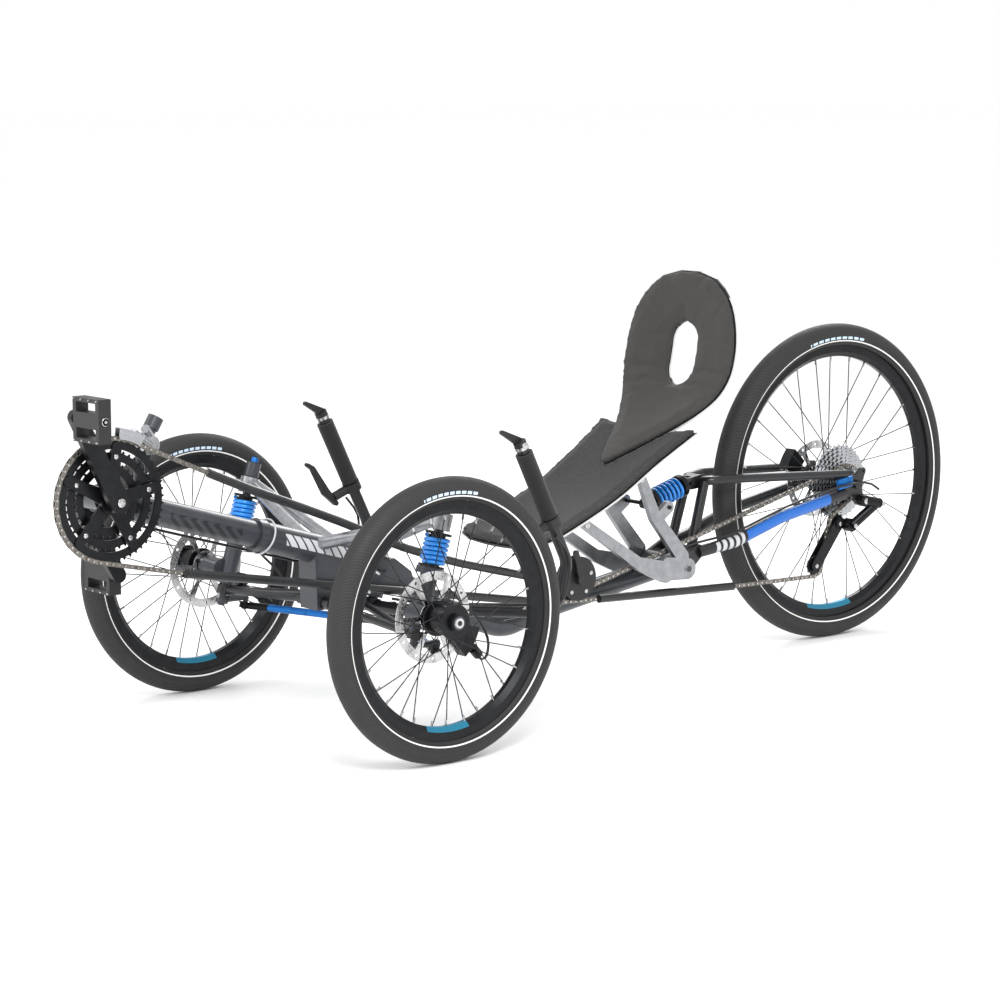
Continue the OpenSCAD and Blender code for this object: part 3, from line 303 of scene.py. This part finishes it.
for name, wheel in wheels.items():
    middle = wheelPoint(wheel, 0, 0, 0)
    mat = variant("tyreRubber", "tyreRubberWithLine" + name.capitalize())
    tree = mat.node_tree
    x, y, z = along(tree, middle)
    radius = calc(tree, "SQRT", calc(tree, "ADD", calc(tree, "MULTIPLY", x, x), calc(tree, "MULTIPLY", z, z)))
    angle = calc(tree, "ARCTAN2", x, z)
    # fine slanting file tread over the crown, shallow towards the sides
    slant = calc(tree, "MULTIPLY_ADD", calc(tree, "ABSOLUTE", y), 900.0, calc(tree, "MULTIPLY", angle, 260.0))
    cuts = calc(tree, "MULTIPLY", calc(tree, "GREATER_THAN", calc(tree, "SINE", slant), 0.1),
                calc(tree, "GREATER_THAN", radius, wheel["line"] + 0.010))
    overlay(mat, cuts, "2A2A2A")
    overlay(mat, within(tree, radius, wheel["line"], 0.0012), "ECECEA")
    overlay(mat, within(tree, radius, wheel["line"] - 0.003, 0.0010), "0E0E0E")
    bars = calc(tree, "GREATER_THAN", calc(tree, "SINE", calc(tree, "MULTIPLY", angle, 110.0)), -0.7)
    patch = calc(tree, "MULTIPLY", within(tree, angle, 0.02, 0.27),
                 within(tree, radius, wheel["line"] + 0.0062, 0.0026))
    overlay(mat, calc(tree, "MULTIPLY", bars, patch), "C4D8EA")
    grain = tree.nodes["Principled BSDF"].inputs["Normal"].links[0].from_socket
    groove = addNode(tree, "ShaderNodeBump", {"Height": cuts, "Normal": grain}, {"Strength": 0.6, "Distance": 0.0006})
    tree.links.new(groove.outputs["Normal"], tree.nodes["Principled BSDF"].inputs["Normal"])
    paint("tyre_" + name, mat)
    # anodised rim with a pale blue mark inside its lower part
    mat = variant("anodisedBlack", "anodisedRim" + name.capitalize())
    x, y, z = along(mat.node_tree, middle)
    turn = calc(mat.node_tree, "ARCTAN2", x, calc(mat.node_tree, "MULTIPLY", z, -1.0))
    inner = calc(mat.node_tree, "LESS_THAN",
                 calc(mat.node_tree, "SQRT", calc(mat.node_tree, "ADD", calc(mat.node_tree, "MULTIPLY", x, x),
                                                  calc(mat.node_tree, "MULTIPLY", z, z))),
                 wheel["bead"] / 1000 - 0.0115)
    overlay(mat, calc(mat.node_tree, "MULTIPLY", inner, within(mat.node_tree, turn, 0.03, 0.24)), "2A7F9E", False)
    paint("rim_" + name, mat)

boomSlope = math.tan(math.radians(16.5))

# graphite boom with darker slanting bars under it
mat = variant("powderCoatGraphite", "powderCoatBarred")
tree = mat.node_tree
x, y, z = along(tree, place(0, 0, 324))
rise = calc(tree, "SUBTRACT", z, calc(tree, "MULTIPLY", x, boomSlope))
slope = calc(tree, "MULTIPLY_ADD", calc(tree, "ABSOLUTE", rise), 1.3, x)
bars = calc(tree, "GREATER_THAN", calc(tree, "SINE", calc(tree, "MULTIPLY", slope, 260.0)), 0.0)
mask = calc(tree, "MULTIPLY", calc(tree, "MULTIPLY", bars, within(tree, x, 0.2425, 0.0745)),
            calc(tree, "LESS_THAN", rise, 0.004))
overlay(mat, mask, "1A1B1E", False)
paint("boom", mat)

# graphite main tube with a silver patch of slanting bars on each side
mat = variant("powderCoatGraphite", "powderCoatPatched")
tree = mat.node_tree
x, y, z = along(tree, place(0, 0, 324))
rise = calc(tree, "SUBTRACT", z, calc(tree, "MULTIPLY", x, boomSlope))
slope = calc(tree, "MULTIPLY_ADD", rise, -0.6, x)
bars = calc(tree, "GREATER_THAN", calc(tree, "SINE", calc(tree, "MULTIPLY", slope, 330.0)), -0.75)
mask = calc(tree, "MULTIPLY", calc(tree, "MULTIPLY", bars, within(tree, x, -0.01, 0.086)),
            calc(tree, "MULTIPLY", within(tree, rise, 0.004, 0.0105),
                 calc(tree, "GREATER_THAN", calc(tree, "ABSOLUTE", y), 0.02)))
overlay(mat, mask, "C9CBCE")
paint("main_frame", mat)

# black rear arm with a blue stripe and a silver patch on the outer sides of the lower stays
mat = variant("powderCoatBlack", "powderCoatStriped")
tree = mat.node_tree
x, y, z = along(tree, place(0, 0, 0))
outer = calc(tree, "MULTIPLY", calc(tree, "GREATER_THAN", calc(tree, "ABSOLUTE", y), 0.074),
             calc(tree, "LESS_THAN", z, 0.325))
blue = calc(tree, "MULTIPLY", outer, within(tree, x, -1.125, 0.115))
overlay(mat, blue, "1564BE")
bars = calc(tree, "GREATER_THAN", calc(tree, "SINE", calc(tree, "MULTIPLY", x, 420.0)), -0.3)
silver = calc(tree, "MULTIPLY", calc(tree, "MULTIPLY", bars, within(tree, x, -0.966, 0.036)),
              calc(tree, "MULTIPLY", calc(tree, "GREATER_THAN", calc(tree, "ABSOLUTE", y), 0.066),
                   calc(tree, "LESS_THAN", z, 0.30)))
overlay(mat, silver, "C4C6C9")
paint("swing_arm", mat)

# blue tie rods with black ends
for side in ("left", "right"):
    mat = variant("anodisedBlue", "anodisedRod" + side.capitalize())
    tree = mat.node_tree
    x, y, z = along(tree)
    ends = calc(tree, "SUBTRACT", 1, within(tree, calc(tree, "ABSOLUTE", y), 0.155, 0.085))
    overlay(mat, ends, "17181A", False)
    paint("tie_rod_" + side, mat)

# seat shells: pale colour on the faces that turn sideways is a painted highlight along the shell's edge
mat = variant("laminateShell", "laminateShellEdgeHighlight")
tree = mat.node_tree
normal = addNode(tree, "ShaderNodeTexCoord").outputs["Normal"]
sideways = addNode(tree, "ShaderNodeSeparateXYZ", {"Vector": normal}).outputs["Y"]
# painted highlight: pale colour where the surface faces sideways
overlay(mat, calc(tree, "GREATER_THAN", calc(tree, "ABSOLUTE", sideways), 0.72), "C8C8C6")
paint("seat_shell_lower", mat)
paint("seat_shell_upper", mat)
print("marks painted")

# ---- pieces ----


def finishPiece(name, bm, finish, body, smooth=40):
    bmesh.ops.remove_doubles(bm, verts=bm.verts, dist=0.00001)
    bmesh.ops.recalc_face_normals(bm, faces=bm.faces)
    mesh = bpy.data.meshes.new(name)
    bm.to_mesh(mesh)
    bm.free()
    mesh.materials.append(surface(finish))
    obj = bpy.data.objects.new(name, mesh)
    bpy.context.collection.objects.link(obj)
    mesh.shade_smooth()
    mesh.set_sharp_from_angle(angle=math.radians(smooth))
    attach(obj, body)
    return obj


def turnTo(direction):
    return Vector((0, 0, 1)).rotation_difference(Vector(direction).normalized()).to_matrix().to_4x4()


def addDisc(bm, centre, axis, radius, height, sides=24, taper=1.0):
    matrix = Matrix.Translation(centre) @ turnTo(axis)
    bmesh.ops.create_cone(bm, cap_ends=True, segments=sides, radius1=radius, radius2=radius * taper,
                          depth=height, matrix=matrix)


def addRod(bm, a, b, radius, sides=16):
    a, b = Vector(a), Vector(b)
    addDisc(bm, (a + b) / 2, b - a, radius, (b - a).length, sides)


def addBolt(bm, centre, axis, radius, height):
    # a domed head with a hexagonal key face on top
    axis = Vector(axis).normalized()
    addDisc(bm, Vector(centre) + axis * height * 0.35, axis, radius, height * 0.7, 20)
    addDisc(bm, Vector(centre) + axis * height * 0.85, axis, radius, height * 0.3, 20, 0.78)
    addDisc(bm, Vector(centre) + axis * (height + 0.0001), axis, radius * 0.42, 0.0004, 6)


def addBlock(bm, centre, size, turn=0.0, round=0.001):
    matrix = Matrix.Translation(centre) @ Matrix.Rotation(turn, 4, "Y") @ Matrix.Diagonal((*size, 1))
    verts = bmesh.ops.create_cube(bm, size=1.0, matrix=matrix)["verts"]
    edges = {e for v in verts for e in v.link_edges}
    bmesh.ops.bevel(bm, geom=list(edges), offset=round, affect="EDGES", segments=2, profile=0.5, material=-1)


def ringMesh(radius, wire, steps=72, sides=12):
    bm = bmesh.new()
    turned = Matrix.Translation((radius, 0, 0)) @ Matrix.Rotation(math.radians(90), 4, "X")
    bmesh.ops.create_circle(bm, segments=sides, radius=wire, matrix=turned)
    bmesh.ops.spin(bm, geom=bm.verts[:] + bm.edges[:], cent=(0, 0, 0), axis=(0, 0, 1), angle=math.tau, steps=steps,
                   use_merge=True, use_duplicate=False)
    return bm


def coilMesh(radius, wire, length, turns, steps=30, sides=12):
    bm = bmesh.new()
    turned = Matrix.Translation((radius, 0, wire)) @ Matrix.Rotation(math.radians(90), 4, "X")
    bmesh.ops.create_circle(bm, segments=sides, radius=wire, matrix=turned)
    count = round(turns * steps)
    bmesh.ops.spin(bm, geom=bm.verts[:] + bm.edges[:], cent=(0, 0, 0), axis=(0, 0, 1),
                   dvec=(0, 0, (length - 2 * wire) / count), angle=math.tau * turns, steps=count,
                   use_duplicate=False)
    bmesh.ops.holes_fill(bm, edges=[e for e in bm.edges if e.is_boundary], sides=0)
    return bm


def stamped(shape, matrices):
    small = bpy.data.meshes.new("stamp")
    shape.to_mesh(small)
    shape.free()
    bm = bmesh.new()
    for matrix in matrices:
        copy = small.copy()
        copy.transform(matrix)
        bm.from_mesh(copy)
        bpy.data.meshes.remove(copy)
    bpy.data.meshes.remove(small)
    return bm


# coil springs: the front ones slide on the kingpins, the rear one on the damper
springs = {
    "radius": 0.0196,
    "wire": 0.0037,
    "frontTurns": 5.9,
    "rearTurns": 5.6,
    "core": 0.0135,
    "seat": 0.0042,
}
for name, side in (("left", 1), ("right", -1)):
    body = "steered_" + name
    low, high = king(78.3, side), king(140.7, side)
    bm = coilMesh(springs["radius"], springs["wire"], (high - low).length - 2 * springs["seat"],
                  springs["frontTurns"])
    axis = (high - low).normalized()
    bm.transform(Matrix.Translation(low + axis * springs["seat"]) @ turnTo(axis))
    coil = finishPiece("strutCoil" + name.capitalize(), bm, "enamelAzure", body)
    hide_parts("strut_spring_" + name)
    bm = bmesh.new()
    addRod(bm, low, high, springs["core"], 28)
    for point in (low + axis * 0.0021, high - axis * 0.0021):
        addDisc(bm, point, axis, 0.0233, springs["seat"], 40)
    finishPiece("strutCore" + name.capitalize(), bm, "anodisedBlack", body)
    # adjuster on top of the strut
    bm = bmesh.new()
    addDisc(bm, king(209, side), axis, 0.0075, 0.009, 24, 0.85)
    finishPiece("strutKnob" + name.capitalize(), bm, "anodisedBlue", "frame")
start, end = place(-806, 0, 328), place(-915, 0, 359)
axis = (end - start).normalized()
low, high = start + axis * 0.0173, end - axis * 0.0183
bm = coilMesh(springs["radius"] - 0.0004, springs["wire"] - 0.0002, (high - low).length - 2 * springs["seat"],
              springs["rearTurns"])
bm.transform(Matrix.Translation(low + axis * springs["seat"]) @ turnTo(axis))
coil = finishPiece("shockCoil", bm, "enamelAzure", "frame")
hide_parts("shock_spring")
bm = bmesh.new()
addRod(bm, low, high, springs["core"] - 0.002, 28)
for point in (low + axis * 0.0021, high - axis * 0.0021):
    addDisc(bm, point, axis, 0.0228, springs["seat"], 40)
finishPiece("shockCore", bm, "anodisedBlack", "frame")
print("springs made")

# chain: plates and rollers along the same runs as the plain band
chain = {
    "pitch": 12.7,
    "y": 48,
    "plate": (0.0198, 0.0009, 0.0076),
    "plateCorner": 0.0034,
    "roller": (0.0036, 0.0032),
    "pin": (0.0017, 0.0072),
    # each stop is a centre in x and z and a signed radius: minus turns forwards over the top, nought is an end
    "runs": [
        [(255, 488, 0), (452, 457.9, -106), (304, 317, 0)],
        [(-471, 226, 0), (-584, 210, -28.3), (-1322, 327, 36.4), (-1294, 246, -22.3), (-1229, 164, 22.3),
         (-1001, 147, 0)],
        [(-530, 168, 0), (-642, 163, 0)],
    ],
}


def chainLine(stops):
    points = []
    turns = []
    for (ax, az, ar), (bx, bz, br) in zip(stops, stops[1:]):
        reach = math.hypot(bx - ax, bz - az)
        turns.append(math.atan2(bz - az, bx - ax) - math.asin((br - ar) / reach))
    for i, (cx, cz, cr) in enumerate(stops):
        first, last = turns[max(i - 1, 0)], turns[min(i, len(turns) - 1)]
        sweep = (last - first) % math.tau if cr > 0 else -((first - last) % math.tau)
        steps = max(1, round(abs(sweep) * abs(cr) / 1.5)) if cr else 0
        for k in range(steps + 1):
            t = first + sweep * k / max(steps, 1)
            points.append(Vector((cx + cr * math.sin(t), cz - cr * math.cos(t))))
    return points


def evenly(points, pitch):
    pins = [points[0]]
    for point in points[1:]:
        while (point - pins[-1]).length >= pitch:
            pins.append(pins[-1] + (point - pins[-1]).normalized() * pitch)
    return pins


plates, rollers = [], []
for run in chain["runs"]:
    pins = evenly(chainLine(run), chain["pitch"])
    for i, (a, b) in enumerate(zip(pins, pins[1:])):
        lean = math.atan2(b.y - a.y, b.x - a.x)
        gap = 2.9 if i % 2 else 1.8
        for y in (-gap, gap):
            spot = place((a.x + b.x) / 2, chain["y"] + y, (a.y + b.y) / 2)
            plates.append(Matrix.Translation(spot) @ Matrix.Rotation(-lean, 4, "Y"))
    rollers += [Matrix.Translation(place(p.x, chain["y"], p.y)) @ turnTo((0, 1, 0)) for p in pins]
shape = bmesh.new()
bmesh.ops.create_cube(shape, size=1.0, matrix=Matrix.Diagonal((*chain["plate"], 1)))
upright = [e for e in shape.edges if abs((e.verts[0].co - e.verts[1].co).normalized().y) > 0.9]
bmesh.ops.bevel(shape, geom=upright, offset=chain["plateCorner"], affect="EDGES", segments=2, profile=0.5, material=-1)
plateMesh = finishPiece("chainPlates", stamped(shape, plates), "steelOiled", "frame", 30)
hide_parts("chain")
shape = bmesh.new()
addDisc(shape, (0, 0, 0), (0, 0, 1), *chain["roller"], 10)
addDisc(shape, (0, 0, 0), (0, 0, 1), *chain["pin"], 8)
finishPiece("chainRollers", stamped(shape, rollers), "steelPolished", "frame", 30)
print("chain made:", len(rollers), "pins")

# teeth of the rings, the cassette and the pulleys
toothed = [
    {"name": "ringTeeth", "body": "crank", "slot": "chainrings", "finish": "anodisedBlack", "centre": (452, 457.9),
     "rows": [(48, 101.6, 52), (42.4, 81.9, 42), (36.8, 60.9, 30)], "size": (0.0056, 0.0022, 0.0046)},
    {"name": "sprocketTeeth", "body": "wheel_rear", "slot": "cassette", "finish": "machinedAluminium",
     "centre": (-1322, 327), "size": (0.0052, 0.0018, 0.0040),
     "rows": [(24 + 4 * k, 32.0 if k == 6 else 74.9 - 6.2 * k, (36, 33, 30, 27, 25, 22, 17, 16, 13)[k])
              for k in range(9)]},
    {"name": "guideTeeth", "body": "frame", "slot": "rear_derailleur", "finish": "nylonBlack",
     "centre": (-1294, 246), "rows": [(48, 17.9, 11)], "size": (0.005, 0.0022, 0.004)},
    {"name": "tensionTeeth", "body": "frame", "slot": "rear_derailleur", "finish": "nylonBlack",
     "centre": (-1229, 164), "rows": [(48, 17.9, 11)], "size": (0.005, 0.0022, 0.004)},
]
for wheel in toothed:
    cx, cz = wheel["centre"]
    spots = []
    for y, radius, count in wheel["rows"]:
        reach = radius + wheel["size"][2] * 500 - 0.3
        for k in range(count):
            a = math.tau * k / count
            spots.append(Matrix.Translation(place(cx + reach * math.cos(a), y, cz + reach * math.sin(a)))
                         @ Matrix.Rotation(math.pi / 2 - a, 4, "Y"))
    shape = bmesh.new()
    bmesh.ops.create_cone(shape, cap_ends=True, segments=4, radius1=0.7071, radius2=0.33, depth=1.0,
                          matrix=Matrix.Diagonal((*wheel["size"], 1)) @ Matrix.Rotation(math.pi / 4, 4, "Z"))
    finishPiece(wheel["name"], stamped(shape, spots), wheel["finish"], wheel["body"], 30)
print("teeth made")

# spoke nipples, rotor bolts and hub caps
for name, wheel in wheels.items():
    spots = []
    for k in range(32):
        angle = math.radians(11.25 * k)
        end = wheelPoint(wheel, angle, wheel["bead"] - 20.3 - 4.5, -2.6 if k % 2 == 0 else 2.6)
        outwards = wheelPoint(wheel, angle, 1, 0) - wheelPoint(wheel, angle, 0, 0)
        spots.append(Matrix.Translation(end) @ turnTo(outwards))
    shape = bmesh.new()
    addDisc(shape, (0, 0, 0), (0, 0, 1), 0.0021, 0.010, 8)
    finishPiece("nipples" + name.capitalize(), stamped(shape, spots), "steelPolished", "wheel_" + name)
    bm = bmesh.new()
    for k in range(6):
        for face in (-1.02, 1.02):
            spot = wheelPoint(wheel, math.radians(60 * k + 30), 22.5, wheel["rotor"] + face)
            addBolt(bm, spot, (0, wheel["side"] * face, 0), 0.0038, 0.0018)
    finishPiece("rotorBolts" + name.capitalize(), bm, "steelBlackened", "wheel_" + name)
    if "steered" in wheel:
        bm = bmesh.new()
        addDisc(bm, wheelPoint(wheel, 0, 0, 36.7), (0, wheel["side"], 0), 0.0095, 0.0014, 32, 0.92)
        finishPiece("hubCap" + name.capitalize(), bm, "steelPolished", wheel["steered"])
        bm = bmesh.new()
        addDisc(bm, wheelPoint(wheel, 0, 0, 37.6), (0, wheel["side"], 0), 0.0045, 0.0008, 24)
        finishPiece("hubSocket" + name.capitalize(), bm, "nylonBlack", wheel["steered"])
print("wheel details made")

# bolt heads: place, side they face and size in millimetres
bolts = {
    "crankBolts": {"body": "crank", "slot": "chainrings", "heads": [
        (452 + 75 * math.cos(math.radians(98 + 72 * k)), 51, 457.9 + 75 * math.sin(math.radians(98 + 72 * k)), 1, 4.2,
         2.2) for k in range(5)] + [(452, 81.5, 457.9, 1, 7.5, 3)]},
    "idlerBolts": {"body": "frame", "slot": "idler", "heads": [(-584, 65, 210, 1, 6.5, 3)] + [
        (-584 + 31 * math.cos(math.radians(72 * k + 20)), 57, 210 + 31 * math.sin(math.radians(72 * k + 20)), 1, 4, 2)
        for k in range(5)]},
    "derailleurBolts": {"body": "frame", "slot": "rear_derailleur", "heads": [
        (-1334, 92.5, 293, 1, 6.5, 3), (-1374, 104, 285, 1, 5, 2.4), (-1316, 81, 242, 1, 5, 2.4),
        (-1294, 59.5, 246, 1, 4.5, 2), (-1229, 56.5, 164, 1, 4.5, 2)]},
    "bracketBolts": {"body": "frame", "slot": "seat_bracket_left", "heads": [
        (x, 69 * s, z, s, 6.5, 3) for s in (-1, 1) for x, z in ((-594, 314), (-733, 390), (-857, 201))]},
}
for name, group in bolts.items():
    bm = bmesh.new()
    for x, y, z, facing, radius, height in group["heads"]:
        addBolt(bm, place(x, y, z), (0, facing, 0), radius / 1000, height / 1000)
    finishPiece(name, bm, "steelPolished", group["body"])

# blue guard block over the left dropout, and a pale loop round the tube by the collar
bm = bmesh.new()
addBlock(bm, place(-1284, 79.6, 334), (0.044, 0.007, 0.022), math.radians(8), 0.0022)
finishPiece("dropoutBlock", bm, "anodisedBlue", "frame")
bm = ringMesh(0.0325, 0.0017)
lean = Vector((math.cos(math.radians(24)), 0.05, math.sin(math.radians(24))))
bm.transform(Matrix.Translation(place(109, 0, 324 + 109 * boomSlope)) @ turnTo(lean))
finishPiece("tubeLoop", bm, "housingPale", "frame")

# clips that hold the rear cable on the spine: the spine's middle and the cable's, in millimetres
clips = {
    "cableClipFront": {"spine": (-660, 0, 169.3), "cable": (-660, 26, 184)},
    "cableClipBack": {"spine": (-760, 0, 185), "cable": (-760, 26, 214)},
}
for name, clip in clips.items():
    spine, cable = place(*clip["spine"]), place(*clip["cable"])
    bm = bmesh.new()
    addRod(bm, spine + (cable - spine).normalized() * 0.0205, cable, 0.0028)
    addDisc(bm, cable, (-1, 0.02, 0.27), 0.0042, 0.008, 20)
    finishPiece(name, bm, "nylonBlack", "frame")

# grip studs and end bolts of the pedals
pedals = {
    "left": {"tip": (531.8, 124.5, 608.0), "side": 1},
    "right": {"tip": (372.2, -111.5, 307.8), "side": -1},
}
for name, look in pedals.items():
    px, py, pz = look["tip"]
    bm = bmesh.new()
    for face in (-1, 1):
        for dy in (-35, -12, 12, 35):
            for dz in (-34, 34):
                addDisc(bm, place(px + face * 13, py + dy, pz + dz), (face, 0, 0), 0.0019, 0.003, 10, 0.8)
    addBolt(bm, place(px, py + look["side"] * 40, pz), (0, look["side"], 0), 0.007, 0.003)
    finishPiece("pedalStuds" + name.capitalize(), bm, "steelPolished", "pedal_" + name + "_body")

# bright barrels under the shifters
gripDir = (place(-242, 298, 512) - place(-346, 298, 300)).normalized()
for name, side in (("left", 1), ("right", -1)):
    bm = bmesh.new()
    foot = place(-242, 298 * side, 512)
    addDisc(bm, foot + gripDir * 0.0045, gripDir, 0.0128, 0.006, 32)
    addBolt(bm, foot + gripDir * 0.009 + Vector((0, 0.0118 * side, 0)), (0, side, 0), 0.006, 0.0025)
    finishPiece("shifterBarrel" + name.capitalize(), bm, "steelPolished", "bar")
print("small parts made")

# ---- seat pads: foam that swells under its cover, held flat against the shells ----

pads = {
    "lower": {"node": "seat_pad_lower", "finish": "foamPadSpeckled", "facing": (0.1, 0, 1), "voxel": 0.005,
              "cap": 0.004, "fill": 0.7},
    "upper": {"node": "seat_pad_upper", "finish": "foamPadSmooth", "facing": (0.6, 0, 0.8), "voxel": 0.005,
              "cap": 0.005, "fill": 0.7},
}


cushion = {
    "pressure": 4,
    "frames": 20,
    "smoothing": 5,
    # faces turned from the rider by more than this stay on the shell
    "heldBelow": 0.15,
}


def settled(obj):
    graph = bpy.context.evaluated_depsgraph_get()
    mesh = bpy.data.meshes.new_from_object(obj.evaluated_get(graph))
    obj.modifiers.clear()
    old = obj.data
    obj.data = mesh
    bpy.data.meshes.remove(old)


def addPad(name, look):
    source = bmesh.new()
    source.from_mesh(nodes[look["node"]].data)
    obj = finishPiece(name, source, look["finish"], "frame")
    remesh = obj.modifiers.new("remesh", "REMESH")
    remesh.mode = "VOXEL"
    remesh.voxel_size = look["voxel"]
    even = obj.modifiers.new("even", "SMOOTH")
    even.factor = 0.5
    even.iterations = cushion["smoothing"]
    settled(obj)
    start = [v.co.copy() for v in obj.data.vertices]
    facing = Vector(look["facing"]).normalized()
    held = obj.vertex_groups.new(name="held")
    held.add([v.index for v in obj.data.vertices if v.normal.dot(facing) < cushion["heldBelow"]], 1.0, "REPLACE")
    cloth = obj.modifiers.new("cloth", "CLOTH")
    cloth.settings.use_pressure = True
    cloth.settings.uniform_pressure_force = cushion["pressure"]
    cloth.settings.vertex_group_mass = "held"
    cloth.settings.effector_weights.gravity = 0
    scene = bpy.context.scene
    for step in range(1, cushion["frames"] + 1):
        scene.frame_set(step)
        bpy.context.view_layer.update()
    settled(obj)
    for v, was in zip(obj.data.vertices, start):
        moved = v.co - was
        if moved.length > look["cap"]:
            v.co = was + moved.normalized() * look["cap"]
    scene.frame_set(1)
    smooth = obj.modifiers.new("smooth", "SUBSURF")
    smooth.levels = smooth.render_levels = 1
    settled(obj)
    obj.data.shade_smooth()
    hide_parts(look["node"])


for name, look in pads.items():
    addPad("pad" + name.capitalize(), look)
    print("pad made:", name)
